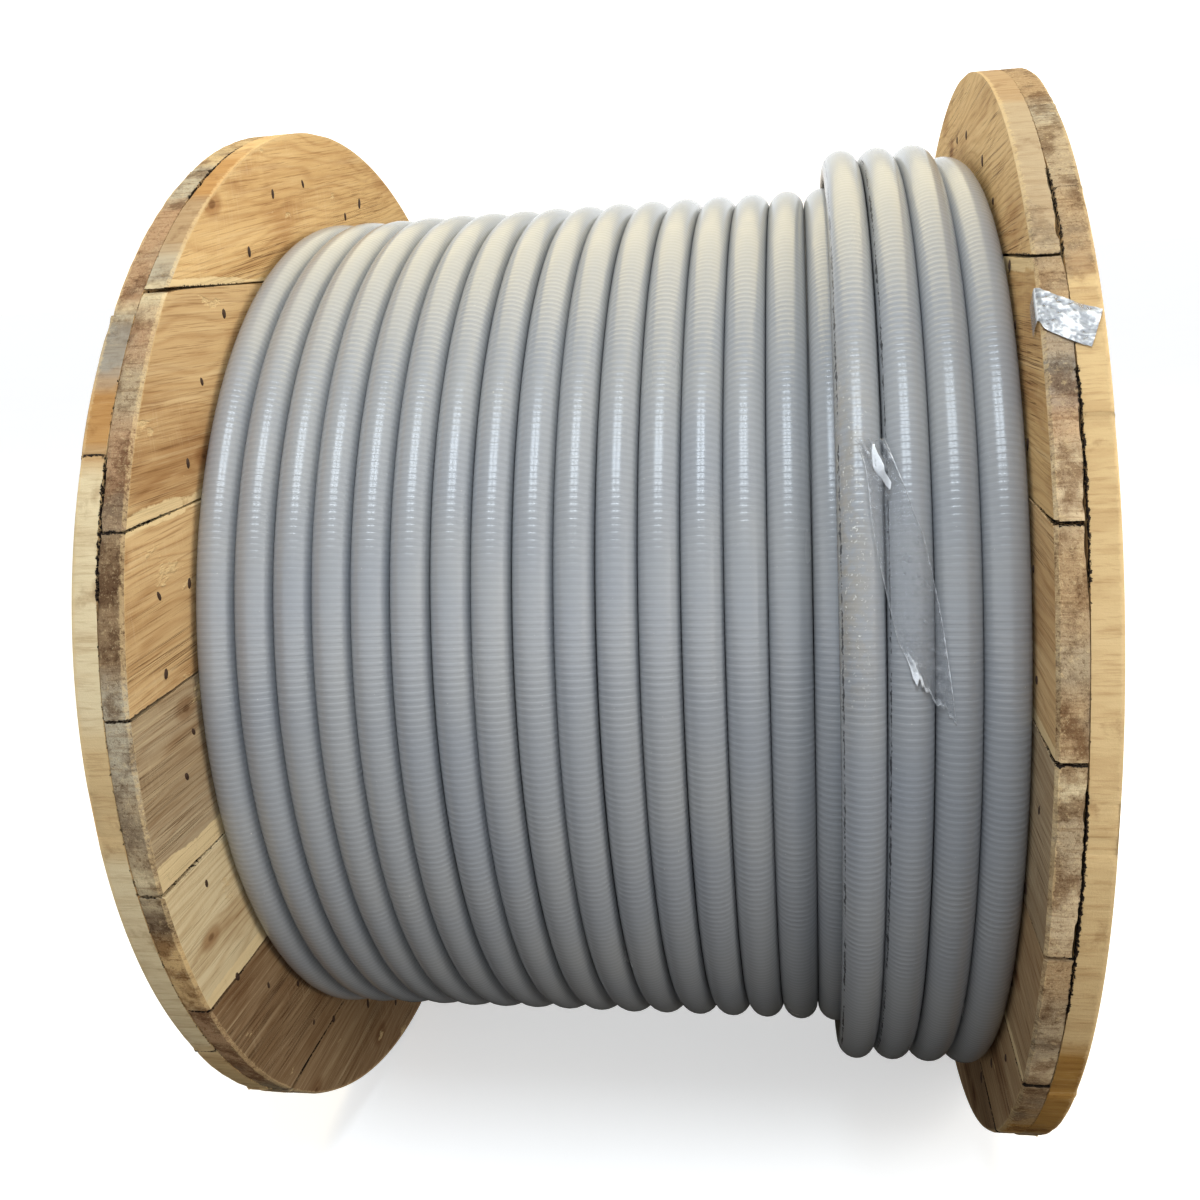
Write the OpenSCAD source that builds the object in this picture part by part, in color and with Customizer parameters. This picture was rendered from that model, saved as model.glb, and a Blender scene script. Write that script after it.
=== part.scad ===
// Wooden cable drum: two crossed-ply plank flanges on a stave barrel, held by
// tie rods and wound with one length of grey jacketed cable.
// X runs along the drum's axis, +Z is up, and the origin is the drum's centre.

/* [Flanges] */
// Diameter of both flanges
flange_d = 1524; // [1400:1:1900]
// Distance between the flanges' inner faces
traverse = 946; // [780:1:1200]
// Thickness of the boards of one ply
ply_t = 31.5; // [24:0.5:40]
// Chamfer round the inner edge of each rim
rim_chamfer = 4; // [1:0.5:8]
// Joint between two boards of a ply
board_gap = 0.6; // [0.3:0.1:0.9]

/* [Boards] */
// Place of the lowest joint of the left inner ply above the axis
left_inner_first = -531; // [-690:1:-450]
// Widths of the level boards between that joint and the highest, bottom to top
left_inner_widths = [240, 187, 213, 196, 247]; // [100:1:250]
// Place of the lowest joint of the right inner ply above the axis
right_inner_first = -560; // [-690:1:-450]
// Widths of the level boards between that joint and the highest, bottom to top
right_inner_widths = [194, 216, 216, 221, 240]; // [100:1:250]
// Place of the front joint of the left outer ply behind the axis
left_outer_first = -657; // [-690:1:-450]
// Widths of the upright boards between that joint and the last, front to back
left_outer_widths = [108, 241, 209, 213, 206, 213]; // [100:1:250]
// Place of the front joint of the right outer ply behind the axis
right_outer_first = -657; // [-690:1:-450]
// Widths of the upright boards between that joint and the last, front to back
right_outer_widths = [181, 150, 219, 214, 221, 213]; // [100:1:250]
// Least width of the boards at the rim
rim_board_w = 40; // [20:1:60]

/* [Barrel] */
// Diameter of the barrel across the corners of its flat staves
barrel_d = 740; // [600:1:750]
// Thickness of a stave
stave_t = 25; // [18:0.5:35]
// Number of staves
stave_count = 24; // [16:1:32]
// Joint between two staves
stave_gap = 0.6; // [0.3:0.1:0.9]

/* [Holes] */
// Diameter of the spindle bore
spindle_bore_d = 80; // [60:1:110]
// Diameter of the drive pin hole
drive_hole_d = 40; // [25:1:60]
// Distance of the drive pin hole below the axis
drive_hole_drop = 220; // [180:1:235]

/* [Tie rods] */
// Number of tie rods
rod_count = 4; // [3:1:8]
// Diameter of a tie rod
rod_d = 16; // [12:1:20]
// Distance between a tie rod's side and the staves' inner faces
rod_to_stave = 14; // [8:1:40]
// Slack of a tie rod in its holes, all round
rod_slack = 0.4; // [0.2:0.1:0.8]
// Diameter of a washer
washer_d = 56; // [44:1:64]
// Thickness of a washer
washer_t = 4; // [2:0.5:6]
// Slack of a washer in its counterbore, all round
washer_slack = 0.8; // [0.4:0.1:0.9]
// Width of a nut across its flats
nut_af = 24; // [20:0.5:30]
// Height of a nut
nut_h = 13; // [9:0.5:14]
// Length of tie rod beyond its nut
rod_tail = 2; // [1:0.5:3]
// Slack of a nut on the rod's thread, all round
thread_slack = 0.15; // [0.1:0.05:0.3]
// Depth of a nut's end below the flange's outer face
nut_recess = 3; // [2:0.5:4]

/* [Cable] */
// Outer diameter of the cable
cable_d = 48.6; // [40:0.1:58]
// Amount by which touching turns flatten each other
turn_squash = 0.25; // [0.2:0.05:0.6]
// Number of full layers
layer_count = 6; // [2:1:6]
// Number of turns in the short top layer
top_turns = 4; // [1:1:8]
// Depth by which the first layer beds down on its bore
bed_depth = 0.5; // [0.3:0.1:1]

/* [Tape] */
// Width of the clear packing tape
tape_w = 48; // [36:1:75]
// Thickness of a strip of tape with its folds
tape_t = 0.6; // [0.4:0.1:1]
// Length of the strip round the top turns
cable_tape_len = 262; // [150:1:320]
// Sideways run of that strip from its upper to its lower end
cable_tape_run = 48; // [0:1:70]
// Distance of that strip's middle from the middle of the outermost top turn
cable_tape_in = 34; // [0:1:60]
// Angle of the middle of that strip above the front
cable_tape_angle = 20.4; // [0:0.1:60]
// Angle of the patch on the right rim above the front
rim_tape_angle = 38; // [0:0.1:60]
// Length of the patch on the right rim, round the rim
rim_tape_len = 60; // [40:1:90]
// Depth by which the patch folds down over the rim's inner face
rim_tape_fold = 26; // [10:1:40]

/* [Hidden] */
// Rest clearance between a piece and its seat
seat = 0.3;
// Margin by which cutting shapes pass the faces they cut
over = 1;
big = 256;
small = 72;

flange_r = flange_d / 2;
inner_face = traverse / 2;
ply_joint = inner_face + ply_t;
outer_start = ply_joint + seat;
outer_face = outer_start + ply_t;

barrel_r = barrel_d / 2;
stave_len = traverse - 2 * seat;
stave_step = 360 / stave_count;
stave_half_angle = stave_step / 2 - stave_gap / 2 / barrel_r * 180 / PI;
stave_outer = barrel_r * cos(stave_half_angle);
stave_inner = stave_outer - stave_t;

rod_ring_r = stave_inner - rod_to_stave - rod_d / 2;
rod_angles = [for (i = [0 : rod_count - 1]) 360 / rod_count * (i + 0.5)];
washer_seat_depth = nut_recess + rod_tail + nut_h + washer_t + 2 * seat;
washer_floor = outer_face - washer_seat_depth;
washer_start = washer_floor + seat;
nut_start = washer_start + washer_t + seat;
rod_end = nut_start + nut_h + rod_tail;

cable_r = cable_d / 2;
pitch = cable_d - turn_squash;
layer_rise = pitch * sin(60);
cable_bore_r = barrel_r + seat;
first_layer_r = cable_bore_r + cable_r - bed_depth;
end_room = seat + cable_r;
// Turns that fit in a layer beside the half pitch that the next layer is moved by
turns = floor((traverse - 2 * end_room) / pitch - 0.5) + 1;
full_layer_r = first_layer_r + (layer_count - 1) * layer_rise;
top_layer_r = full_layer_r + cable_d;
top_x = [for (i = [0 : top_turns - 1]) inner_face - end_room - i * pitch];
top_out_r = top_layer_r + cable_r;

// A cylinder along X from x = start to x = start + length
module along_x(start, length, r, facets = small) {
    translate([start, 0, 0]) rotate([0, 90, 0]) cylinder(h = length, r = r, $fn = facets);
}

// Moves a shape to the tie rods' places round the axis
module at_rods() {
    for (angle = rod_angles) rotate([angle, 0, 0]) translate([0, 0, rod_ring_r]) children();
}

// Everything that is drilled through the flanges
module flange_holes(side) {
    low = side * inner_face - (side > 0 ? over : ply_t * 2 + seat + over);
    depth = ply_t * 2 + seat + over * 2;
    along_x(low, depth, spindle_bore_d / 2);
    translate([0, 0, -drive_hole_drop]) along_x(low, depth, drive_hole_d / 2);
    at_rods() along_x(low, depth, rod_d / 2 + rod_slack);
    floor_x = side > 0 ? washer_floor : -washer_floor - washer_seat_depth - over;
    at_rods() along_x(floor_x, washer_seat_depth + over, washer_d / 2 + washer_slack);
}

// One flange's inner ply as a chamfered disc, on the side of the drum that side says
module inner_disc(side) {
    mirror([side > 0 ? 0 : 1, 0, 0]) rotate([0, 90, 0]) rotate_extrude($fn = big)
        polygon([[0, inner_face], [flange_r - rim_chamfer, inner_face],
            [flange_r, inner_face + rim_chamfer], [flange_r, ply_joint], [0, ply_joint]]);
}

// One flange's outer ply as a disc
module outer_disc(side) {
    along_x(side > 0 ? outer_start : -outer_face, ply_t, flange_r, big);
}

// Width of the first n boards of a list
function run(widths, n) = n == 0 ? 0 : run(widths, n - 1) + widths[n - 1];

// Joints of a ply, kept inside the rim when the flange is small
function joints(first, widths) = [for (i = [0 : len(widths)])
    min(flange_r - rim_board_w * (len(widths) + 1 - i),
        max(rim_board_w * (i + 1) - flange_r, first + run(widths, i)))];
left_inner_joints = joints(left_inner_first, left_inner_widths);
left_outer_joints = joints(left_outer_first, left_outer_widths);
right_inner_joints = joints(right_inner_first, right_inner_widths);
right_outer_joints = joints(right_outer_first, right_outer_widths);

// Low and high side of a ply's board, number i counted from the low end
function board_low(joints, i) = i == 0 ? -flange_r - over : joints[i - 1] + board_gap / 2;
function board_high(joints, i) = i == len(joints) ? flange_r + over : joints[i] - board_gap / 2;

module inner_board(side, joints, i) {
    low = board_low(joints, i);
    high = board_high(joints, i);
    color(i % 2 == 0 ? "burlywood" : "tan") difference() {
        intersection() {
            inner_disc(side);
            translate([-outer_face, -flange_r - over, low])
                cube([outer_face * 2, (flange_r + over) * 2, high - low]);
        }
        flange_holes(side);
    }
}

module outer_board(side, joints, i) {
    low = board_low(joints, i);
    high = board_high(joints, i);
    color(i % 2 == 0 ? "tan" : "burlywood") difference() {
        intersection() {
            outer_disc(side);
            translate([-outer_face - over, low, -flange_r - over])
                cube([(outer_face + over) * 2, high - low, (flange_r + over) * 2]);
        }
        flange_holes(side);
    }
}

module barrel_staves() {
    outer_half = stave_outer * tan(stave_half_angle);
    inner_half = stave_inner * tan(stave_half_angle);
    color("burlywood") for (i = [0 : stave_count - 1]) rotate([(i + 0.5) * stave_step, 0, 0])
        translate([-stave_len / 2, 0, 0]) rotate([0, 90, 0]) linear_extrude(stave_len)
            polygon([[stave_inner, -inner_half], [stave_outer, -outer_half],
                [stave_outer, outer_half], [stave_inner, inner_half]]);
}

module tie_rods() {
    color("silver") at_rods() along_x(-rod_end, rod_end * 2, rod_d / 2);
}

// Draws a shape that lies on the right flange on both flanges
module on_both_flanges() {
    for (side = [0, 1]) mirror([side, 0, 0]) children();
}

module rod_washers() {
    color("silver") on_both_flanges() at_rods() difference() {
        along_x(washer_start, washer_t, washer_d / 2);
        along_x(washer_start - over, washer_t + over * 2, rod_d / 2 + rod_slack);
    }
}

module rod_nuts() {
    color("gray") on_both_flanges() at_rods() difference() {
        along_x(nut_start, nut_h, nut_af / 2 / cos(30), 6);
        along_x(nut_start - over, nut_h + over * 2, rod_d / 2 + thread_slack);
    }
}

// Axial place of the first and the last turn of a layer: every other layer nests half a pitch over
function half_step(layer) = (layer_count - 1 - layer) % 2 == 0 ? 0 : pitch / 2;
function first_x(layer) = -inner_face + end_room + half_step(layer);
function last_x(layer) = first_x(layer) + (turns - 1) * pitch;
function layer_r(layer) = first_layer_r + layer * layer_rise;

// Half section of the winding: radius along the first axis, place along the drum on the second
module winding_section() {
    layers = [for (k = [0 : layer_count - 1]) k];
    outer = layer_count - 1;
    difference() {
        union() {
            polygon(concat(
                [[cable_bore_r - over, first_x(0)]],
                [for (k = layers) [layer_r(k), first_x(k)]],
                [for (k = layers) [layer_r(outer - k), last_x(outer - k)]],
                [[cable_bore_r - over, last_x(0)]]));
            for (k = layers) {
                translate([layer_r(k), first_x(k)]) circle(r = cable_r, $fn = small);
                translate([layer_r(k), last_x(k)]) circle(r = cable_r, $fn = small);
            }
            for (i = [1 : turns - 2])
                translate([full_layer_r, first_x(outer) + i * pitch]) circle(r = cable_r, $fn = small);
            for (x = top_x) translate([top_layer_r, x]) circle(r = cable_r, $fn = small);
            if (top_turns > 1)
                translate([full_layer_r - cable_r / 2, top_x[top_turns - 1]])
                    square([top_layer_r - full_layer_r + cable_r / 2, (top_turns - 1) * pitch]);
        }
        translate([0, -traverse]) square([cable_bore_r, traverse * 2]);
    }
}

module cable() {
    color("slategray") rotate([0, 90, 0]) rotate_extrude($fn = big) winding_section();
}

// A thin round skin about the axis
module skin(r, start, length) {
    difference() {
        along_x(start, length, r + tape_t, big);
        along_x(start - over, length + over * 2, r, big);
    }
}

// Stands a flat outline on the drum's front at an angle above the front, drawn as [x, distance up]
module outline_at(angle, r) {
    rotate([-angle, 0, 0]) rotate([90, 0, 0]) linear_extrude(r + tape_t + over) children();
}

module cable_tape() {
    middle = top_x[top_turns - 1] + cable_tape_in;
    half = cable_tape_len / 2;
    shift = cable_tape_run / 2;
    color("gainsboro") intersection() {
        skin(top_out_r + seat, middle - tape_w * 2, tape_w * 4);
        outline_at(cable_tape_angle, top_out_r)
            polygon([[middle - shift - tape_w / 2, half], [middle - shift + tape_w / 2, half],
                [middle + shift + tape_w / 2, -half], [middle + shift - tape_w / 2, -half]]);
    }
}

module rim_tape() {
    half = rim_tape_len / 2;
    fold_x = inner_face - seat - tape_t;
    color("gainsboro") {
        intersection() {
            skin(flange_r + seat, fold_x, tape_w * 2);
            outline_at(rim_tape_angle, flange_r)
                polygon([[fold_x - over, half], [fold_x + tape_w, half * 0.2],
                    [fold_x + tape_w * 0.9, -half], [fold_x - over, -half * 0.3]]);
        }
        intersection() {
            difference() {
                along_x(fold_x, tape_t, flange_r + seat + tape_t, big);
                along_x(fold_x - over, tape_t + over * 2, flange_r - rim_tape_fold, big);
            }
            outline_at(rim_tape_angle, flange_r)
                polygon([[fold_x - over, half], [fold_x + tape_w, half], [fold_x + tape_w, -half * 0.3],
                    [fold_x - over, -half * 0.3]]);
        }
    }
}

for (i = [0 : len(left_inner_joints)])
    inner_board(-1, left_inner_joints, i);
for (i = [0 : len(left_outer_joints)])
    outer_board(-1, left_outer_joints, i);
for (i = [0 : len(right_inner_joints)])
    inner_board(1, right_inner_joints, i);
for (i = [0 : len(right_outer_joints)])
    outer_board(1, right_outer_joints, i);
barrel_staves();
tie_rods();
rod_washers();
rod_nuts();
cable();
cable_tape();
rim_tape();
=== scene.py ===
"""Looks of the wooden cable drum: sawn and weathered plank flanges, a ribbed grey cable wound
in level turns, packing tape and nails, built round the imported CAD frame. Metres throughout."""

import math

import bpy
import numpy as np
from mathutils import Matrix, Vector


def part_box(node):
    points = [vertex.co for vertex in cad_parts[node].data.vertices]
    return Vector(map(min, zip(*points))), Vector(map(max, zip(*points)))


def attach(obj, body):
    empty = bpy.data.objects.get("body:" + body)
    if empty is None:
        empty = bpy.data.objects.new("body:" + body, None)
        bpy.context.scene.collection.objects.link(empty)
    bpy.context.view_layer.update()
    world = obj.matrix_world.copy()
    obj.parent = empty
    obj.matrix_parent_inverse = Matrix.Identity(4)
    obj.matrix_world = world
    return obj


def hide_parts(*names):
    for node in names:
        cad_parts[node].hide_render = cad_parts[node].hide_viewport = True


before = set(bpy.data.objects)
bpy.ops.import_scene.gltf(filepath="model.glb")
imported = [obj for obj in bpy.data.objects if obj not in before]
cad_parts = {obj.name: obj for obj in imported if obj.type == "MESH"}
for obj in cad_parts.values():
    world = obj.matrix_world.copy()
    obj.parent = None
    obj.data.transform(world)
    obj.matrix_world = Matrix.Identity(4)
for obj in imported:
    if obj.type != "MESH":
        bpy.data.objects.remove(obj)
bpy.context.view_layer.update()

MM = 0.001
TAU = 2 * math.pi
DEG = math.pi / 180

# ---------------- sizes from the frame
FLANGE_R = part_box("right_outer_board_5")[1].z
INNER_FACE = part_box("right_inner_board_4")[0].x
PLY_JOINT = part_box("right_inner_board_4")[1].x
OUTER_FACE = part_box("right_outer_board_5")[1].x
TOP_OUT_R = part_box("cable")[1].z
CABLE_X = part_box("cable")[0].x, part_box("cable")[1].x
BARREL_R = 370 * MM
ROD_R = 8 * MM
ROD_RING = (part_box("tie_rods")[1].z - ROD_R) * math.sqrt(2)
CABLE_R = 24.3 * MM
PITCH = 48.35 * MM
TURNS = 19
TOP_TURNS = 4
LAYERS = 6
LAYER_RISE = PITCH * math.sin(60 * DEG)
TOP_R = TOP_OUT_R - CABLE_R
FULL_R = TOP_R - 2 * CABLE_R
RIB_PITCH = 8.0 * MM
FIRST_X = CABLE_X[0] + CABLE_R
LAST_TOP_X = CABLE_X[1] - CABLE_R

# ---------------- small helpers


class Wobble:
    """Smooth seeded noise along one coordinate, between -1 and 1."""

    def __init__(self, seed, scale):
        self.table = np.random.default_rng(seed).uniform(-1, 1, 1024)
        self.scale = scale

    def __call__(self, x):
        x = np.asarray(x, float) / self.scale + 400
        i = np.floor(x).astype(int)
        f = x - i
        f = f * f * (3 - 2 * f)
        return self.table[i % 1024] * (1 - f) + self.table[(i + 1) % 1024] * f


def smoothstep(low, high, x):
    t = np.clip((np.asarray(x, float) - low) / (high - low), 0, 1)
    return t * t * (3 - 2 * t)


def srgb(red, green, blue):
    """Colour as a painter names it, 0 to 255, turned into light values."""
    values = np.array([red, green, blue]) / 255
    return tuple(np.where(values <= 0.04045, values / 12.92, ((values + 0.055) / 1.055) ** 2.4))


def rim_point(x, radius, angle):
    """Point at an angle above the front of the drum."""
    x, radius, angle = np.broadcast_arrays(x, radius, angle)
    return np.stack([x, -radius * np.cos(angle), radius * np.sin(angle)], -1)


def add_object(name, data):
    obj = bpy.data.objects.new(name, data)
    bpy.context.scene.collection.objects.link(obj)
    return obj


def make_object(name, points, faces, material=None, smooth=True, sharp=None):
    mesh = bpy.data.meshes.new(name)
    mesh.from_pydata([tuple(p) for p in points], [], [tuple(f) for f in faces])
    mesh.validate()
    mesh.update()
    obj = add_object(name, mesh)
    if smooth:
        mesh.shade_smooth()
        if sharp:
            mesh.set_sharp_from_angle(angle=sharp * DEG)
    if material:
        mesh.materials.append(material)
    return obj


def apply_modifiers(obj):
    graph = bpy.context.evaluated_depsgraph_get()
    mesh = bpy.data.meshes.new_from_object(obj.evaluated_get(graph))
    old = obj.data
    obj.modifiers.clear()
    obj.data = mesh
    bpy.data.meshes.remove(old)
    obj.data.name = obj.name


def set_attribute(mesh, name, values, domain="POINT"):
    """Numbers, vectors or colours, one for each point or face."""
    values = np.asarray(values, np.float32)
    width = values.size // len(values)
    kind, field = {1: ("FLOAT", "value"), 3: ("FLOAT_VECTOR", "vector"), 4: ("FLOAT_COLOR", "color")}[width]
    layer = mesh.attributes.new(name, kind, domain)
    layer.data.foreach_set(field, values.ravel())


def with_alpha(colours):
    return np.concatenate([colours, np.ones((len(colours), 1))], 1)


# ---------------- shaders


class Shader:
    """A node material, written as nested calls."""

    def __init__(self, name):
        self.mat = bpy.data.materials.new(name)
        self.mat.use_nodes = True
        self.tree = self.mat.node_tree
        self.tree.nodes.clear()
        self.out = self.tree.nodes.new("ShaderNodeOutputMaterial")

    def node(self, kind, inputs=None, **settings):
        made = self.tree.nodes.new(kind)
        for key, value in settings.items():
            setattr(made, key, value)
        for key, value in (inputs or {}).items():
            self.put(made.inputs[key], value)
        return made

    def put(self, socket, value):
        if isinstance(value, bpy.types.NodeSocket):
            self.tree.links.new(value, socket)
        elif isinstance(value, (tuple, list)) and len(value) == 3 and socket.type == "RGBA":
            socket.default_value = (*value, 1)
        else:
            socket.default_value = value

    def attribute(self, name, output="Vector"):
        return self.node("ShaderNodeAttribute", attribute_name=name).outputs[output]

    def place(self):
        return self.node("ShaderNodeTexCoord").outputs["Object"]

    def math(self, operation, a, b=0.0, c=0.0):
        return self.node("ShaderNodeMath", {0: a, 1: b, 2: c}, operation=operation).outputs[0]

    def times(self, a, b):
        return self.math("MULTIPLY", a, b)

    def times_plus(self, a, b, c):
        return self.math("MULTIPLY_ADD", a, b, c)

    def noise(self, vector, scale=1.0, detail=4.0, roughness=0.55):
        return self.node("ShaderNodeTexNoise", {"Vector": vector, "Scale": scale, "Detail": detail,
                         "Roughness": roughness}).outputs[0]

    def split(self, vector):
        return self.node("ShaderNodeSeparateXYZ", {0: vector}).outputs

    def join(self, x, y, z=0.0):
        return self.node("ShaderNodeCombineXYZ", {0: x, 1: y, 2: z}).outputs[0]

    def between(self, value, low, high, to_low=0.0, to_high=1.0):
        return self.node("ShaderNodeMapRange", {0: value, 1: low, 2: high, 3: to_low, 4: to_high},
                         interpolation_type="SMOOTHSTEP").outputs[0]

    def mix(self, factor, a, b, blend="MIX"):
        made = self.node("ShaderNodeMix", data_type="RGBA", blend_type=blend)
        self.put(made.inputs[0], factor)
        self.put(made.inputs[6], a)
        self.put(made.inputs[7], b)
        return made.outputs[2]

    def shade(self, colour, mask, amount, factor):
        """Multiplies a colour by factor where the mask is 1, as strongly as amount says."""
        return self.mix(self.times(mask, amount), colour, factor, "MULTIPLY")

    def stain(self, colour, texture, low, high, amount, factor):
        """Multiplies a colour by factor where a texture goes from low to high."""
        return self.shade(colour, self.between(texture, low, high), amount, srgb(*factor))

    def paint(self, colour, texture, low, high, amount, coat):
        """Lays another colour over the first where a texture goes from low to high."""
        return self.mix(self.times(self.between(texture, low, high), amount), colour, srgb(*coat))

    def away_from(self, texture, middle):
        return self.math("ABSOLUTE", self.math("SUBTRACT", texture, middle))

    def bump(self, height, distance, strength=1.0):
        return self.node("ShaderNodeBump", {"Height": height, "Distance": distance,
                         "Strength": strength}).outputs[0]

    def finish(self, **inputs):
        sockets = {k.replace("_", " "): v for k, v in inputs.items()}
        body = self.node("ShaderNodeBsdfPrincipled", sockets)
        self.tree.links.new(body.outputs[0], self.out.inputs[0])
        return self.mat


def wood_face(s, grain, tint):
    """Colour and height of a sawn face. grain runs along the fibres in its first axis."""

    def drawn_out(scale, detail, roughness=0.55, offset=(0, 0, 0)):
        place = s.node("ShaderNodeMapping", {"Vector": grain, "Scale": scale, "Location": offset})
        return s.noise(place.outputs[0], 1.0, detail, roughness)

    along, across, _ = s.split(grain)
    bend = drawn_out((1.5, 6, 6), 3, 0.5)
    rings = s.math("FRACT", s.times_plus(across, 75, s.times(bend, 15)))
    ring_line = s.between(s.away_from(rings, 0.5), 0.2, 0.5)
    fibres = drawn_out((10, 520, 520), 4, 0.65)
    streaks = drawn_out((1.8, 85, 85), 4, 0.6)
    broad = drawn_out((1.3, 16, 16), 3, 0.6)
    blotch = drawn_out((4, 10, 10), 4, 0.6, offset=(2, 5, 1))
    saw = drawn_out((260, 22, 22), 3, 0.6)
    saw_patch = s.between(drawn_out((4, 7, 7), 2, offset=(3, 1, 7)), 0.47, 0.6)
    knot_place = s.join(s.times(along, 2.6), s.times(across, 4.6))
    knot = s.node("ShaderNodeTexVoronoi", {"Vector": knot_place, "Scale": 1.0},
                  voronoi_dimensions="2D").outputs["Distance"]
    knot = s.times_plus(blotch, 0.08, knot)
    torn = s.between(drawn_out((7, 15, 15), 5, 0.65, offset=(8, 2, 4)), 0.635, 0.68)
    hair = drawn_out((2.2, 210, 210), 2, 0.5, offset=(4, 9, 2))
    hair_patch = s.between(drawn_out((3, 9, 9), 2, offset=(6, 3, 5)), 0.45, 0.6)
    hair_line = s.times(s.between(s.away_from(hair, 0.55), 0.02, 0.006), hair_patch)

    colour = s.stain(tint, broad, 0.40, 0.65, 0.40, (208, 190, 168))
    colour = s.stain(colour, blotch, 0.50, 0.70, 0.60, (204, 178, 152))
    colour = s.shade(colour, ring_line, 0.35, srgb(205, 180, 155))
    colour = s.stain(colour, streaks, 0.54, 0.68, 0.32, (190, 165, 138))
    colour = s.paint(colour, streaks, 0.46, 0.32, 0.18, (226, 204, 162))
    colour = s.stain(colour, fibres, 0.54, 0.64, 0.50, (172, 146, 120))
    colour = s.paint(colour, fibres, 0.44, 0.30, 0.22, (228, 208, 168))
    saw_mask = s.times(s.between(saw, 0.5, 0.7), saw_patch)
    colour = s.mix(s.times(saw_mask, 0.12), colour, srgb(222, 200, 165))
    colour = s.stain(colour, knot, 0.13, 0.08, 0.6, (185, 150, 118))
    colour = s.stain(colour, knot, 0.07, 0.055, 0.6, (150, 120, 95))
    colour = s.mix(s.times(torn, 0.75), colour, srgb(214, 186, 138))
    colour = s.shade(colour, hair_line, 0.75, srgb(130, 104, 78))
    height = s.times_plus(fibres, 0.6, s.times(s.times(saw, saw_patch), 0.5))
    height = s.times_plus(hair_line, -0.6, height)
    height = s.times_plus(ring_line, 0.2, height)
    height = s.times_plus(s.times(torn, s.noise(grain, 400, 3, 0.7)), 2.5, height)
    return colour, height


def wood_rim(s, rim_tint, is_end):
    """Colour and height of the sawn rim: saw lines across it, and fuzzy speckle on end grain."""
    place = s.place()
    x, y, z = s.split(place)
    arc = s.times(s.math("ARCTAN2", z, s.times(y, -1.0)), FLANGE_R)
    saw = s.noise(s.join(s.times(arc, 210), s.times(x, 16)), detail=4, roughness=0.7)
    saw_broad = s.noise(s.join(s.times(arc, 48), s.times(x, 9)), detail=3, roughness=0.6)
    fuzz = s.noise(place, 420, 4, 0.75)
    clumps = s.noise(place, 130, 5, 0.72)
    stain = s.noise(place, 26, 5, 0.62)
    cloud = s.noise(place, 9, 3, 0.6)

    end = s.stain(rim_tint, stain, 0.44, 0.62, 0.75, (150, 122, 98))
    end = s.paint(end, cloud, 0.52, 0.66, 0.35, (140, 128, 108))
    end = s.paint(end, clumps, 0.54, 0.66, 0.34, (206, 182, 138))
    end = s.stain(end, clumps, 0.45, 0.34, 0.55, (152, 122, 92))
    end = s.paint(end, fuzz, 0.56, 0.68, 0.34, (222, 202, 160))
    end = s.stain(end, fuzz, 0.45, 0.33, 0.6, (140, 110, 82))
    end = s.stain(end, saw, 0.50, 0.64, 0.45, (172, 142, 112))
    end_height = s.times_plus(fuzz, 1.5, s.times(clumps, 2.5))

    side = s.stain(rim_tint, saw_broad, 0.46, 0.64, 0.25, (195, 168, 138))
    side = s.stain(side, saw, 0.50, 0.66, 0.32, (185, 155, 122))
    side = s.paint(side, saw, 0.46, 0.32, 0.16, (214, 190, 146))
    side = s.stain(side, stain, 0.54, 0.7, 0.45, (170, 140, 112))
    side_height = s.times_plus(saw, 0.8, s.times(fuzz, 0.5))

    colour = s.mix(is_end, side, end)
    height = s.times_plus(is_end, s.math("SUBTRACT", end_height, side_height), side_height)
    return colour, height


def board_material():
    """Flange board. Attribute grain runs along the fibres, tint is the board's colour, rim_tint the
    rim's, and wear_and_shade holds how near a point is to a split seam, painted dark as its shade,
    a worn corner and a pale strip.
    rim is 1 on the rim, and endness is 1 where the rim cuts straight across the fibres."""
    s = Shader("sawn_board")
    grain = s.attribute("grain")
    rim = s.attribute("rim", "Fac")
    gap_shade, corner, strip = s.split(s.attribute("wear_and_shade"))
    place = s.place()
    ragged = s.noise(place, 210, 4, 0.7)
    patchy = s.noise(place, 45, 4, 0.65)
    endness = s.times_plus(patchy, 0.3, s.attribute("endness", "Fac"))
    is_end = s.between(endness, 0.78, 0.90)
    face, face_height = wood_face(s, grain, s.attribute("tint", "Color"))
    edge, edge_height = wood_rim(s, s.attribute("rim_tint", "Color"), is_end)

    strip_mask = s.between(s.times_plus(patchy, 0.6, strip), 0.72, 0.85)
    face = s.mix(s.times(strip_mask, 0.8), face, srgb(222, 198, 152))
    colour = s.mix(rim, face, edge)
    worn = s.between(s.times_plus(ragged, 0.9, corner), 0.78, 0.98)
    colour = s.mix(s.times(worn, 0.42), colour, srgb(214, 186, 138))
    # Painted shade: near-black in the open seams between boards and the splits between plies
    split = s.between(s.times_plus(ragged, 1.4, gap_shade), 1.47, 1.57)
    colour = s.mix(split, colour, srgb(38, 28, 20))
    height = s.times_plus(rim, s.math("SUBTRACT", edge_height, face_height), face_height)
    height = s.times_plus(split, -3.0, height)
    return s.finish(Base_Color=colour, Roughness=0.82, Specular_IOR_Level=0.2,
                    Normal=s.bump(height, 0.7 * MM, 1.0))


def stave_material():
    s = Shader("sawn_stave")
    x, y, z = s.split(s.place())
    turned = s.times(s.math("ARCTAN2", z, y), BARREL_R)
    grain = s.join(x, turned, s.math("SQRT", s.times_plus(y, y, s.times(z, z))))
    colour, height = wood_face(s, grain, srgb(196, 158, 108))
    return s.finish(Base_Color=colour, Roughness=0.85, Specular_IOR_Level=0.2,
                    Normal=s.bump(height, 0.7 * MM, 1.0))


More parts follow.
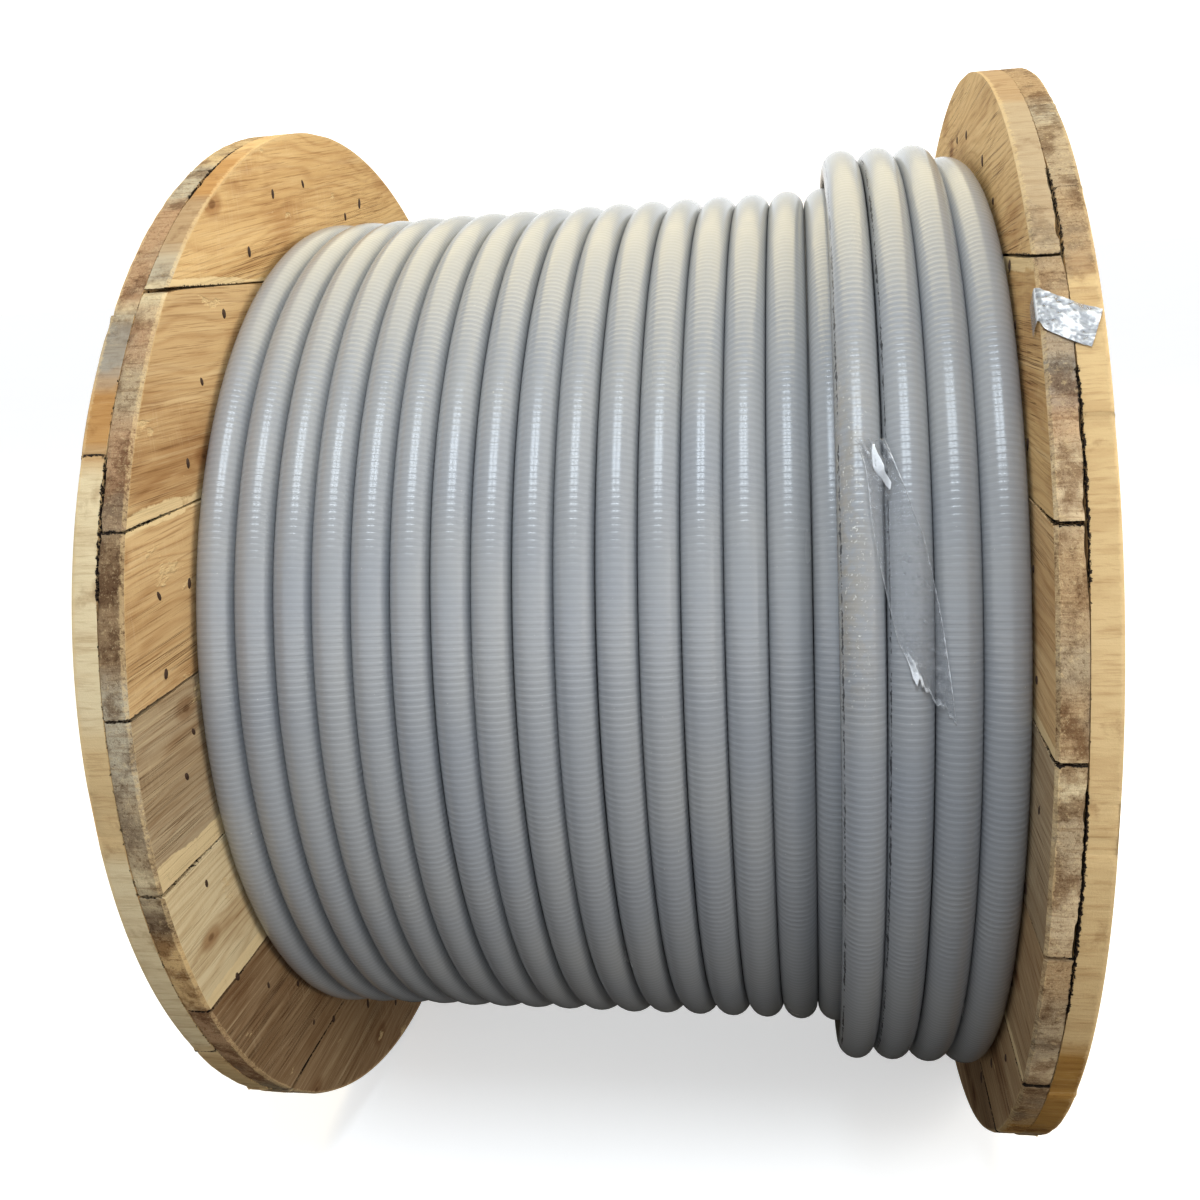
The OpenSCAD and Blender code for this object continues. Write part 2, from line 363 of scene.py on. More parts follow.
def cable_material():
    """Grey PVC jacket over interlocked armour, whose strip shows as fine ribs round the cable.
    Attribute jacket holds the length along the cable and the direction round it: its second value
    is 1 on the outside of a turn and -1 on the inside."""
    s = Shader("grey_jacket")
    along, around, _ = s.split(s.attribute("jacket"))
    legend = s.attribute("legend", "Fac")
    soiled = s.attribute("soiled", "Fac")
    place = s.attribute("place")
    drift = s.noise(s.join(s.times(along, 9), 0.0), detail=2)
    wave = s.math("SINE", s.times_plus(along, TAU / RIB_PITCH, s.times(drift, 9.0)))
    uneven = s.noise(s.join(s.times(along, 30), s.times(around, 1.5)), detail=4, roughness=0.7)
    rib = s.times(s.between(wave, -0.5, 0.9), s.between(uneven, 0.28, 0.60, 0.35, 1.0))
    dust = s.noise(place, 7, 4, 0.5)
    smear = s.noise(s.join(s.times(along, 2.5), s.times(around, 0.6), 3.0), detail=3, roughness=0.5)
    scuff = s.noise(place, 85, 5, 0.75)
    specks = s.noise(place, 330, 2, 0.5)
    colour = s.mix(s.between(dust, 0.2, 0.8), srgb(146, 150, 156), srgb(154, 156, 158))
    colour = s.paint(colour, smear, 0.3, 0.8, 0.15, (164, 163, 160))
    # Painted shade: the grooves between the ribs are a little darker.
    colour = s.stain(colour, rib, 0.4, 0.0, 0.13, (185, 185, 186))
    # Painted shade: the jacket darkens towards the inside of each turn, in the grooves where neighbouring
    # turns meet.
    colour = s.stain(colour, around, 0.28, -0.12, 0.85, (96, 92, 86))
    colour = s.paint(colour, scuff, 0.74, 0.79, 0.5, (120, 112, 98))
    colour = s.paint(colour, specks, 0.76, 0.80, 0.7, (205, 204, 198))
    dirt = s.times(soiled, s.between(s.noise(place, 60, 4, 0.7), 0.35, 0.65))
    colour = s.mix(s.times(dirt, 0.45), colour, srgb(152, 141, 120))
    flecks = s.times(soiled, s.between(s.noise(place, 240, 3, 0.75), 0.62, 0.67))
    colour = s.mix(s.times(flecks, 0.8), colour, srgb(226, 228, 226))
    blots = s.noise(s.join(s.times(along, 120), s.times(around, 4), 1.0), detail=4, roughness=0.7)
    runs = s.noise(s.join(s.times(along, 14), 2.0, 1.0), detail=2)
    blots = s.times_plus(blots, 1.1, s.times(s.math("SUBTRACT", runs, 0.5), 0.9))
    smudge = s.between(s.math("ADD", blots, legend), 1.46, 1.54)
    colour = s.mix(s.times(smudge, 0.85), colour, srgb(46, 46, 48))
    rough = s.between(s.times_plus(dust, 0.5, s.times(smear, 0.5)), 0.25, 0.75, 0.20, 0.28)
    return s.finish(Base_Color=colour, Roughness=rough, Specular_IOR_Level=0.5,
                    Normal=s.bump(rib, 0.19 * MM, 1.0))


def steel_material():
    s = Shader("dull_zinc")
    place = s.place()
    rust = s.noise(place, 60, 5, 0.7)
    colour = s.mix(s.between(rust, 0.48, 0.66), srgb(172, 170, 165), srgb(124, 86, 58))
    return s.finish(Base_Color=colour, Metallic=s.between(rust, 0.5, 0.62, 0.9, 0.1),
                    Roughness=s.between(rust, 0.4, 0.7, 0.38, 0.8),
                    Normal=s.bump(s.noise(place, 700, 3), 0.2 * MM, 0.6))


def tape_material(name, thin, thick, white_from, white_to):
    """Clear packing tape, thin where it lies flat and thick along its creases. It turns from grey to
    white between two levels of crumpling: partly the film's own whitening and partly painted glints
    on its folds and edges. On the cable tape the faint grey where it lies flat is painted sheen."""
    s = Shader(name)
    place = s.place()
    crease_and_glint = s.attribute("crease_and_glint", "Fac")
    crumple = s.noise(place, 130, 5, 0.7)
    bubbles = s.noise(place, 300, 4, 0.75)
    level = s.times_plus(crumple, 0.6, crease_and_glint)
    alpha = s.between(level, 0.34, 0.95, thin, thick)
    alpha = s.times_plus(s.between(bubbles, 0.60, 0.68), 0.30, alpha)
    # White on the tape is partly its own whitening and partly painted glint.
    white = s.between(s.times_plus(bubbles, 0.5, level), white_from, white_to)
    colour = s.mix(white, srgb(158, 162, 168), srgb(240, 244, 250))
    return s.finish(Base_Color=colour, Roughness=0.10, Alpha=alpha, Specular_IOR_Level=0.9,
                    Normal=s.bump(crumple, 1.5 * MM, 1.0))


def nail_material():
    s = Shader("rusty_nail")
    place = s.place()
    rust = s.noise(place, 300, 4, 0.7)
    colour = s.mix(rust, srgb(40, 32, 28), srgb(92, 66, 48))
    return s.finish(Base_Color=colour, Metallic=0.4, Roughness=0.7,
                    Normal=s.bump(rust, 0.3 * MM, 0.7))


# ---------------- flange boards

HOLE_SIDES = 48
RIM_BAND = 12 * MM
TINTS = {
    "pale": (214, 196, 158),
    "straw": (200, 172, 126),
    "honey": (208, 174, 122),
    "cream": (222, 190, 138),
    "tan": (200, 168, 122),
    "dusty": (196, 174, 140),
    "gold": (196, 168, 122),
    "orange": (178, 134, 80),
    "red_brown": (172, 138, 104),
    "rust": (160, 120, 62),
    "brown": (168, 140, 104),
    "umber": (140, 114, 84),
    "grey_brown": (170, 150, 120),
    "pale_grey": (178, 166, 142),
    "blue_grey": (150, 142, 128),
    "dark": (128, 108, 84),
}

# Each board's colour, the widths of pale strips along its low and high edges in millimetres, and
# how far its grain runs off the straight. Level boards go from bottom to top, upright ones from
# front to back.
# The lowest boards of the inner plies are umber, darker than those above them: partly the wood's own tone
# and partly painted shade.
BOARDS = {
    "left_inner": (("umber", 0, 0, 0), ("umber", 0, 0, 0.03), ("pale", 20, 0, 0),
                   ("grey_brown", 30, 0, 0.03), ("tan", 0, 6, -0.02), ("tan", 12, 0, 0.02),
                   ("honey", 7, 0, -0.12)),
    "right_inner": (("umber", 0, 0, 0), ("brown", 0, 0, 0), ("brown", 12, 0, 0.02),
                    ("grey_brown", 0, 0, 0), ("tan", 10, 0, 0), ("honey", 0, 14, 0.03),
                    ("cream", 0, 0, 0.1)),
    "left_outer": (("straw", 0, 0, 0), ("honey", 14, 0, 0.03), ("tan", 0, 0, 0), ("grey_brown", 0, 20, 0),
                   ("tan", 0, 0, 0.02), ("honey", 10, 0, 0), ("brown", 0, 0, 0), ("tan", 0, 15, 0)),
    "right_outer": (("honey", 0, 0, 0), ("straw", 0, 12, 0), ("straw", 0, 0, 0.03), ("tan", 18, 0, 0),
                    ("grey_brown", 0, 0, 0), ("honey", 0, 0, 0.02), ("tan", 0, 16, 0), ("tan", 0, 0, 0)),
}

# The rim's colours from its back-top down over the front, each down to an angle in degrees above
# the front. Past the last one the colours come from a seeded draw.
RIM_TOP = 100
RIM_COLOURS = {
    "left_outer": ((68, "straw"), (59, "pale_grey"), (45, "red_brown"), (43, "pale"), (37, "blue_grey"),
                   (30, "orange"), (16, "pale"), (7, "pale"), (-4, "straw"), (-30, "pale"),
                   (-50, "straw")),
    "left_inner": ((70, "honey"), (60, "orange"), (51, "brown"), (47, "pale_grey"), (44, "pale"),
                   (39, "red_brown"), (33, "grey_brown"), (25, "red_brown"), (16, "umber"),
                   (12, "umber"), (2, "pale_grey"), (-5, "grey_brown"), (-8, "pale"), (-13, "dark"),
                   (-22, "honey"), (-40, "red_brown")),
    "right_inner": ((66, "brown"), (52, "grey_brown"), (44, "grey_brown"), (36, "brown"), (32, "blue_grey"),
                    (29, "red_brown"), (22, "dusty"), (15, "brown"), (10, "grey_brown"), (5, "brown"),
                    (2, "pale"), (-4, "grey_brown"), (-11, "dusty"), (-16, "brown"), (-24, "grey_brown"),
                    (-29, "dusty"), (-36, "umber"), (-45, "rust")),
    "right_outer": ((66, "brown"), (61, "pale_grey"), (52, "grey_brown"), (42, "brown"), (38, "gold"),
                    (16, "gold"), (2, "straw"), (-8, "gold"), (-22, "gold"), (-45, "rust")),
}
SPARE_TINTS = ("straw", "honey", "tan", "orange", "brown", "grey_brown", "pale_grey", "umber")

# Stretches of rim, in degrees above the front, where the plies have split apart
SPLITS = {-1: ((18, 30), (60, 74), (150, 170)), 1: ((44, 54), (18, 34), (-18, 3), (130, 150))}


def rim_tints(group, angle, seed):
    """Colour of the rim at each angle, which is in radians above the front."""
    rng = np.random.default_rng(seed)
    bands = list(RIM_COLOURS[group])
    while bands[-1][0] > RIM_TOP - 360:
        bands.append((bands[-1][0] - rng.uniform(5, 20), str(rng.choice(SPARE_TINTS))))
    limits = np.array([-down_to for down_to, _ in bands])
    colours = np.array([srgb(*TINTS[name]) for _, name in bands])
    degrees = angle / DEG + 0.8 * Wobble(seed + 1, 0.02)(angle)
    total = 0
    for nudge in (-1.1, -0.4, 0.4, 1.1):
        place = np.where(degrees + nudge > RIM_TOP, degrees + nudge - 360, degrees + nudge)
        total = total + colours[np.clip(np.searchsorted(limits, -place), 0, len(bands) - 1)]
    return total / 4


def spread(length, step, edge_steps):
    """Places from 0 to length: a few close to both ends, then even ones about a step apart."""
    edges = [e for e in edge_steps if e < length / 2]
    inside = length - 2 * edges[-1]
    count = max(2, round(inside / step))
    middle = [edges[-1] + inside * i / count for i in range(count + 1)]
    return np.array(edges[:-1] + middle + [length - e for e in reversed(edges[:-1])])


def box_faces(counts):
    """Quads over the surface of a grid of points, as indices into the flat grid."""
    index = np.arange(np.prod(counts)).reshape(counts)
    sheets = ((index[:, :, 0], True), (index[:, :, -1], False), (index[:, 0, :], False),
              (index[:, -1, :], True), (index[0, :, :], True), (index[-1, :, :], False))
    faces = []
    for grid, flip in sheets:
        quads = np.stack([grid[:-1, :-1], grid[1:, :-1], grid[1:, 1:], grid[:-1, 1:]], -1).reshape(-1, 4)
        faces.append(quads[:, ::-1] if flip else quads)
    return np.concatenate(faces)


def board_points(side, level, low, high, near, thick, rng, seed):
    """Grid of points of one worn board. a runs along the fibres, b across and c through the board,
    from its near face. Returns the points' places and the grid's size."""
    rim_r = FLANGE_R - rng.uniform(0.2, 1.6) * MM
    least = 88 * DEG
    phi_low = max(math.asin(max(low / FLANGE_R, -1)), -least)
    phi_high = min(math.asin(min(high / FLANGE_R, 1)), least)
    edge_rows = (0, 2 * MM, 6 * MM)
    phi = phi_low + spread(phi_high - phi_low, 7 * MM / FLANGE_R, [e / FLANGE_R for e in edge_rows])
    widest = FLANGE_R * math.cos(min(abs(phi_low), abs(phi_high)) if phi_low * phi_high > 0 else 0)
    end_rows = (0, 4 * MM, 9 * MM, 17 * MM)
    u = spread(2.0, 26 * MM / widest, [e / widest for e in end_rows]) - 1
    skin = 6 * MM
    c = spread(thick, 9 * MM, (0, skin))

    uu, pp, cc = np.meshgrid(u, phi, c, indexing="ij")
    b = rim_r * np.sin(pp)
    half_len = rim_r * np.cos(pp)
    a = uu * half_len
    from_end = (1 - np.abs(uu)) * half_len
    at_end = np.isclose(np.abs(uu), 1)
    at_low = np.isclose(pp, phi[0])
    at_high = np.isclose(pp, phi[-1])
    at_inner = np.isclose(cc, 0)
    at_outer = np.isclose(cc, thick)
    at_joint, at_face = (at_outer, at_inner) if level else (at_inner, at_outer)
    to_joint = thick - cc if level else cc
    inwards = 1 if level else -1
    angle = np.arctan2(b, -a) if level else np.arctan2(a, -b)
    arc = FLANGE_R * angle

    # Split between the plies: the inner one has lost its corner in places, so a wedge stays open
    soft = Wobble(seed + 1, 30 * MM)
    fine = Wobble(seed + 2, 9 * MM)
    degrees = angle / DEG
    split = sum(smoothstep(start - 3, start + 2, degrees) * (1 - smoothstep(end - 2, end + 3, degrees))
                for start, end in SPLITS[side])
    ragged = np.clip(0.55 + 0.45 * Wobble(seed + 3, 45 * MM)(arc) + 0.35 * fine(arc), 0.1, 1)
    tear = (0.4 + 4.0 * split * ragged) * MM * (1.0 if level else 0.3)
    wedge = 1 - smoothstep(0, 17 * MM, from_end)
    row = np.clip(1 - to_joint / (4 * skin), 0, 1) * (to_joint < 1.5 * skin)
    cc = cc - inwards * row * wedge * tear

    # Worn corner between the rim and the open face, sawn as a chamfer on the inner side
    if level:
        corner = (3.6 + 0.7 * soft(arc) + 0.5 * fine(arc)) * MM
    else:
        corner = (1.3 + 0.8 * np.clip(soft(arc), 0, 1) + 0.8 * np.clip(fine(arc), 0, 1)) * MM
    cc = cc + inwards * at_end * at_face * corner
    a = a - np.sign(uu) * at_end * at_joint * 0.8 * MM

    # Ragged seams with the next boards, open a little more towards the rim
    gape = 0.35 + Wobble(seed + 4, 90 * MM)(a) + 0.5 * Wobble(seed + 5, 14 * MM)(a)
    opening = 0.25 + np.clip(gape, 0, 1.5)
    flare = 0.5 + 1.7 * smoothstep(140 * MM, 0, from_end)
    from_low = FLANGE_R * (pp - phi[0])
    from_high = FLANGE_R * (phi[-1] - pp)
    at_seam = np.clip(1 - from_low / (9 * MM), 0, 1) - np.clip(1 - from_high / (9 * MM), 0, 1)
    b = b + opening * flare * MM * at_seam
    lip = (1.0 + 0.6 * soft(a)) * MM
    b = b + (at_low & at_face) * lip - (at_high & at_face) * lip

    # Each board cups a little and lies a little deeper than its neighbours
    t = (pp - phi[0]) / (phi[-1] - phi[0]) * 2 - 1
    cc = cc + inwards * at_face * (rng.uniform(0.5, 1.5) * MM + 0.6 * MM * t * t)
    a = a - np.sign(uu) * at_end * 0.4 * MM * (1 + Wobble(seed + 8, 12 * MM)(arc + 3 * cc))
    x = side * (near + cc)
    points = np.stack([x, a, b] if level else [x, b, a], -1).reshape(-1, 3)
    return points, uu.shape


def flange_drillings(side):
    """Holes through one flange as (start, end, y, z, radius)."""
    past = 5 * MM
    spindle_r, drive_r, drive_drop = 40 * MM, 20 * MM, 220 * MM
    rod_hole_r, washer_r, washer_depth = 8.4 * MM, 28.8 * MM, 22.6 * MM
    low, high = sorted((side * (INNER_FACE - past), side * (OUTER_FACE + past)))
    seat = sorted((side * (OUTER_FACE - washer_depth), side * (OUTER_FACE + past)))
    found = [(low, high, 0, 0, spindle_r), (low, high, 0, -drive_drop, drive_r)]
    half = ROD_RING / math.sqrt(2)
    for y in (-half, half):
        for z in (-half, half):
            found += [(low, high, y, z, rod_hole_r), (*seat, y, z, washer_r)]
    return found


def drill(obj, side, level, low, high, near, thick):
    """Cuts every hole of the flange that passes through this board."""
    cutters = []
    n = HOLE_SIDES
    angles = np.arange(n) * TAU / n
    sides = [(i, (i + 1) % n, n + (i + 1) % n, n + i) for i in range(n)]
    sides += [tuple(range(n - 1, -1, -1)), tuple(range(n, 2 * n))]
    for x0, x1, y, z, r in flange_drillings(side):
        place = z if level else y
        reaches = min(abs(x0), abs(x1)) < near + thick - 1 * MM
        if low - r < place < high + r and reaches:
            ring = np.stack([0 * angles, y + r * np.cos(angles), z + r * np.sin(angles)], 1)
            points = np.concatenate([ring + (x0, 0, 0), ring + (x1, 0, 0)])
            cutters.append(make_object("drill", points, sides, smooth=False))
    for cutter in cutters:
        cut = obj.modifiers.new("cut", "BOOLEAN")
        cut.operation = "DIFFERENCE"
        cut.solver = "EXACT"
        cut.object = cutter
    if cutters:
        apply_modifiers(obj)
    for cutter in cutters:
        bpy.data.objects.remove(cutter)


def mark_board(mesh, group, side, level, low, high, look, seed, rng):
    """Gives a board's points the attributes that its material reads."""
    tint, low_strip, high_strip, slope = look
    count = len(mesh.vertices)
    co = np.zeros(count * 3, np.float32)
    mesh.vertices.foreach_get("co", co)
    co = co.reshape(-1, 3).astype(float)
    along, across = (co[:, 1], co[:, 2]) if level else (co[:, 2], co[:, 1])
    offset = rng.uniform(-5, 5, 3)
    grain = np.stack([along + offset[0], across + slope * along + offset[1], co[:, 0] + offset[2]], 1)
    radius = np.hypot(co[:, 1], co[:, 2])
    angle = np.arctan2(co[:, 2], -co[:, 1])
    depth = np.abs(co[:, 0])

    # Cracks follow the seams and the split between the plies, and are painted dark as their shade.
    # On the rim the distance to a seam is measured along the rim.
    on_edge = radius > FLANGE_R - RIM_BAND
    here, low_seam, high_seam = (FLANGE_R * np.arcsin(np.clip(b / FLANGE_R, -1, 1))
                                 for b in (across, low, high))
    to_seam = np.minimum(across - low, high - across)
    along_rim = np.minimum(here - low_seam, high_seam - here)
    to_seam = np.where(on_edge, np.maximum(along_rim, to_seam), to_seam)
    split = sum(((angle / DEG > start) & (angle / DEG < end)) * 1.0 for start, end in SPLITS[side])
    near_rim = smoothstep(150 * MM, 20 * MM, FLANGE_R - radius)
    gap_shade = np.clip(1 - to_seam / (7 * MM), 0, 1) * (0.72 + 0.28 * near_rim)
    between_plies = on_edge * np.clip(1 - np.abs(depth - PLY_JOINT) / (8 * MM), 0, 1)
    gap_shade = np.maximum(gap_shade, between_plies * (0.72 + 0.28 * split))
    from_face = np.abs(depth - (INNER_FACE if level else OUTER_FACE))
    corner = np.clip(1 - from_face / (10 * MM), 0, 1) * np.clip(1 - (FLANGE_R - radius) / (10 * MM), 0, 1)
    ripple = 4 * MM * Wobble(seed + 9, 60 * MM)(along)
    strip = np.zeros(count)
    for width, distance in ((low_strip * MM, across - low), (high_strip * MM, high - across)):
        if width:
            strip = np.maximum(strip, 1 - smoothstep(width, width + 6 * MM, distance + ripple))
    set_attribute(mesh, "grain", grain)
    set_attribute(mesh, "wear_and_shade", np.stack([gap_shade, corner, 0.6 * strip], 1))
    set_attribute(mesh, "endness", np.abs(along) / FLANGE_R)
    colour = np.array(srgb(*TINTS[tint])) * rng.uniform(0.94, 1.06)
    set_attribute(mesh, "tint", with_alpha(np.tile(colour, (count, 1))))
    group_seed = sum(map(ord, group))
    set_attribute(mesh, "rim_tint", with_alpha(rim_tints(group, angle, group_seed)))
    centres = np.array([p.center for p in mesh.polygons])
    normals = np.array([p.normal for p in mesh.polygons])
    on_rim = (np.hypot(centres[:, 1], centres[:, 2]) > FLANGE_R - 5 * MM) & (np.abs(normals[:, 0]) < 0.8)
    set_attribute(mesh, "rim", on_rim, "FACE")


def board(group, number, side, level, look, seed, material):
    """One flange board, worn, gapped and torn a little inside its CAD node's space. Level boards
    have their fibres along Y and upright ones along Z."""
    node = f"{group}_board_{number}"
    low_corner, high_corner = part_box(node)
    low, high = (low_corner.z, high_corner.z) if level else (low_corner.y, high_corner.y)
    near = min(abs(low_corner.x), abs(high_corner.x))
    thick = high_corner.x - low_corner.x
    rng = np.random.default_rng(seed)
    points, counts = board_points(side, level, low, high, near, thick, rng, seed)
    faces = box_faces(counts)
    if (side > 0) == level:
        faces = faces[:, ::-1]
    used, faces = np.unique(faces, return_inverse=True)
    obj = make_object(node + "_sawn", points[used], faces.reshape(-1, 4), smooth=False)
    drill(obj, side, level, low, high, near, thick)
    mark_board(obj.data, group, side, level, low, high, look, seed, rng)
    obj.data.materials.clear()
    obj.data.materials.append(material)
    obj.data.shade_smooth()
    obj.data.set_sharp_from_angle(angle=35 * DEG)
    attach(obj, "root")
    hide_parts(node)


def flanges(material):
    seed = 100
    for side, side_name in ((-1, "left"), (1, "right")):
        for level, ply in ((True, "inner"), (False, "outer")):
            group = f"{side_name}_{ply}"
            for i, look in enumerate(BOARDS[group]):
                seed += 10
                board(group, i + 1, side, level, look, seed, material)


# ---------------- nails


def blob(centre, half_size, turn, rows=5, columns=8):
    """Low rounded lump on a plane across X, as points and quads."""
    points = [centre + np.array([half_size[0], 0, 0])]
    faces = []
    for r in range(1, rows):
        lift = math.cos(r / (rows - 1) * math.pi / 2)
        reach = math.sin(r / (rows - 1) * math.pi / 2)
        for c in range(columns):
            around = c * TAU / columns
            y = reach * half_size[1] * math.cos(around)
            z = reach * half_size[2] * math.sin(around)
            points.append(centre + np.array([half_size[0] * lift,
                                             y * math.cos(turn) - z * math.sin(turn),
                                             y * math.sin(turn) + z * math.cos(turn)]))
    for c in range(columns):
        d = (c + 1) % columns
        faces.append((0, 1 + c, 1 + d))
        for r in range(rows - 2):
            i = 1 + r * columns
            faces.append((i + c, i + columns + c, i + columns + d, i + d))
    faces.append(tuple(1 + (rows - 2) * columns + c for c in reversed(range(columns))))
    if half_size[0] < 0:
        faces = [f[::-1] for f in faces]
    return points, faces


def nails(name, side, rings, face, size, sink, seed, material):
    """Nails on one face of a flange, in rings as (radius share, step in degrees)."""
    rng = np.random.default_rng(seed)
    points, faces = [], []
    for share, step in rings:
        for k in range(round(360 / step)):
            angle = (k + rng.uniform(-0.25, 0.25)) * step * DEG
            radius = FLANGE_R * (share + rng.uniform(-0.035, 0.035))
            centre = rim_point(side * (face - sink), radius, angle)
            scale = rng.uniform(0.75, 1.2)
            half = (size[0], size[1] * scale, size[2] * scale * rng.uniform(0.8, 1.3))
            lump, quads = blob(centre, half, rng.uniform(-0.5, 0.5))
            faces += [tuple(i + len(points) for i in q) for q in quads]
            points += lump
    obj = make_object(name, points, faces, material, sharp=40)
    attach(obj, "root")


def all_nails(material):
    point_rings = ((0.88, 10.5), (0.80, 21))
    head_rings = point_rings + ((0.58, 18), (0.34, 30))
    point_sink, head_sink = -1.3 * MM, 1.4 * MM
    for side, side_name in ((-1, "left"), (1, "right")):
        point_size = (-side * 1.6 * MM, 4.2 * MM, 6.4 * MM)
        head_size = (side * 1.2 * MM, 4.6 * MM, 4.6 * MM)
        nails(f"nail_points_{side_name}", side, point_rings, INNER_FACE, point_size,
              point_sink, 7 + side, material)
        nails(f"nail_heads_{side_name}", side, head_rings, OUTER_FACE, head_size,
              head_sink, 17 + side, material)


# ---------------- cable

RINGS_PER_TURN = 150
CABLE_SIDES = 24
CROSS_HALF = 24 * DEG
BACK = math.pi


def cable_path():
    """Centre line from where the cable comes up at the left flange to its cut end. It goes down the
    front and up the back, keeps level with the flanges, and steps over by one turn at the back.
    Returns angles, places along the drum, radii and the turn's number."""
    start, rise_span = BACK + 70 * DEG, 85 * DEG
    climb_start, climb_span = BACK - TAU * TURNS - 40 * DEG, 95 * DEG
    angle = start - np.arange((TURNS + TOP_TURNS) * RINGS_PER_TURN) * (TAU / RINGS_PER_TURN)
    done = (BACK + CROSS_HALF - angle) / TAU
    turn = np.floor(done)
    crossing = smoothstep(0, 2 * CROSS_HALF / TAU, done - turn)
    number = np.clip(turn + crossing - 1, -1, None)
    climb = smoothstep(0, 1, (climb_start - angle) / climb_span)
    lower_x = FIRST_X + np.minimum(number, TURNS - 1) * PITCH
    top_x = LAST_TOP_X - np.clip(number - TURNS, 0, None) * PITCH
    x = lower_x * (1 - climb) + top_x * climb
    radius = FULL_R * (1 - climb) + TOP_R * climb
    rise = smoothstep(0, 1, (start - angle) / rise_span)
    radius = radius - LAYER_RISE * (1 - rise)
    x = x + (1 - rise) * PITCH * 0.5
    return angle, x, radius, number


def ring_faces(rings, sides, closed=False):
    """Quads between neighbouring rings of points. closed also joins the last ring to the first."""
    i, j = np.meshgrid(np.arange(rings if closed else rings - 1), np.arange(sides), indexing="ij")
    i2, j2 = (i + 1) % rings, (j + 1) % sides
    return np.stack([i * sides + j, i * sides + j2, i2 * sides + j2, i2 * sides + j], -1).reshape(-1, 4)


def sweep(line, outward, radius, sides):
    """Tube round a line of points, as a grid of points, its quads and its length at each ring."""
    tangent = np.gradient(line, axis=0)
    tangent = tangent / np.linalg.norm(tangent, axis=1)[:, None]
    outward = outward - tangent * (outward * tangent).sum(1)[:, None]
    outward = outward / np.linalg.norm(outward, axis=1)[:, None]
    sideways = np.cross(tangent, outward)
    around = np.arange(sides) * TAU / sides
    ring = outward[:, None, :] * np.cos(around)[None, :, None]
    ring = ring + sideways[:, None, :] * np.sin(around)[None, :, None]
    points = (line[:, None, :] + radius * ring).reshape(-1, 3)
    n = len(line)
    faces = [tuple(f) for f in ring_faces(n, sides)]
    faces.append(tuple(range(sides - 1, -1, -1)))
    faces.append(tuple(range((n - 1) * sides, n * sides)))
    arc = np.concatenate([[0], np.cumsum(np.linalg.norm(np.diff(line, axis=0), axis=1))])
    return points, faces, arc, around


def mark_cable(mesh, **values):
    for name, value in values.items():
        set_attribute(mesh, name, value)


def cable(material):
    angle, x, radius, number = cable_path()
    x = x + 0.5 * MM * Wobble(5, 0.9)(angle)
    radius = radius + 0.6 * MM * (Wobble(6, 0.7)(angle) - 1)
    points, faces, arc, around = sweep(rim_point(x, radius, angle), rim_point(0.0, 1.0, angle),
                                       CABLE_R, CABLE_SIDES)
    obj = make_object("cable_turns", points, faces, material, sharp=60)
    n, m = len(arc), CABLE_SIDES
    jacket = np.stack([np.repeat(arc, m), np.tile(np.cos(around), n), np.tile(np.sin(around), n)], 1)

    # The legend runs along the left flank of the last turns. The last one is dusty above its front.
    legend_side, legend_half = 64 * DEG, 15 * DEG
    off_crest = np.abs(np.arctan2(np.sin(around), np.cos(around)))
    on_line = np.tile(np.clip(1.4 - np.abs(off_crest - legend_side) / legend_half, 0, 1), n)
    to_left = (np.repeat(x, m) - points[:, 0]) / CABLE_R
    legend = on_line * (to_left > 0) * np.repeat(number > TURNS + 1.5, m)
    level = np.sin(angle)
    front = (np.cos(angle) > 0) * smoothstep(0.05, 0.25, level) * smoothstep(0.75, 0.5, level)
    last_turn = smoothstep(TURNS + 2.2, TURNS + 2.4, number)
    soiled = np.repeat(front * last_turn, m) * smoothstep(-0.9, 0.5, to_left)
    mark_cable(obj.data, jacket=jacket, place=points, legend=legend, soiled=soiled)
    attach(obj, "root")
    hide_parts("cable")


def inner_layers(material):
    """The layers under the outer one, as one turned body whose turns show on its ends."""
    half_arc = 58 * DEG
    sides = 96

    def end_outline(sign):
        outline = []
        for below in range(LAYERS - 1, 0, -1):
            moved = (below % 2) * PITCH / 2
            centre_r = FULL_R - below * LAYER_RISE
            centre = FIRST_X + moved + (TURNS - 1) * PITCH * (sign > 0)
            for t in np.linspace(-half_arc, half_arc, 7):
                outline.append((centre_r + CABLE_R * math.sin(t), centre + sign * CABLE_R * math.cos(t)))
        return outline

    core_r = FULL_R - 3 * MM
    left = end_outline(-1)
    right = end_outline(1)
    bore_r = left[0][0]
    outline = left + [(core_r, left[-1][1] + PITCH), (core_r, right[-1][1] - PITCH)] + right[::-1]
    outline = [(bore_r, left[0][1] + 1 * MM)] + outline + [(bore_r, right[0][1] - 1 * MM)]
    around = np.arange(sides) * TAU / sides
    points = np.concatenate([rim_point(x, r, around) for r, x in outline])
    faces = ring_faces(len(outline), sides, closed=True)
    obj = make_object("cable_inner_layers", points, faces, material, sharp=50)
    jacket = np.zeros((len(points), 3))
    jacket[:, 0] = np.tile(around * FULL_R, len(outline))
    clean = np.zeros(len(points))
    mark_cable(obj.data, jacket=jacket, place=points, legend=clean, soiled=clean)
    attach(obj, "root")


# ---------------- tapes


def sheet_places(rows, columns):
    """Grids of u, from 0 to 1 along a sheet, and v, from -1 to 1 across it."""
    return np.meshgrid(np.linspace(0, 1, rows), np.linspace(-1, 1, columns), indexing="ij")


def grid_faces(rows, columns):
    i, j = np.meshgrid(np.arange(rows - 1), np.arange(columns - 1), indexing="ij")
    return np.stack([i * columns + j, i * columns + j + 1, (i + 1) * columns + j + 1,
                     (i + 1) * columns + j], -1).reshape(-1, 4)


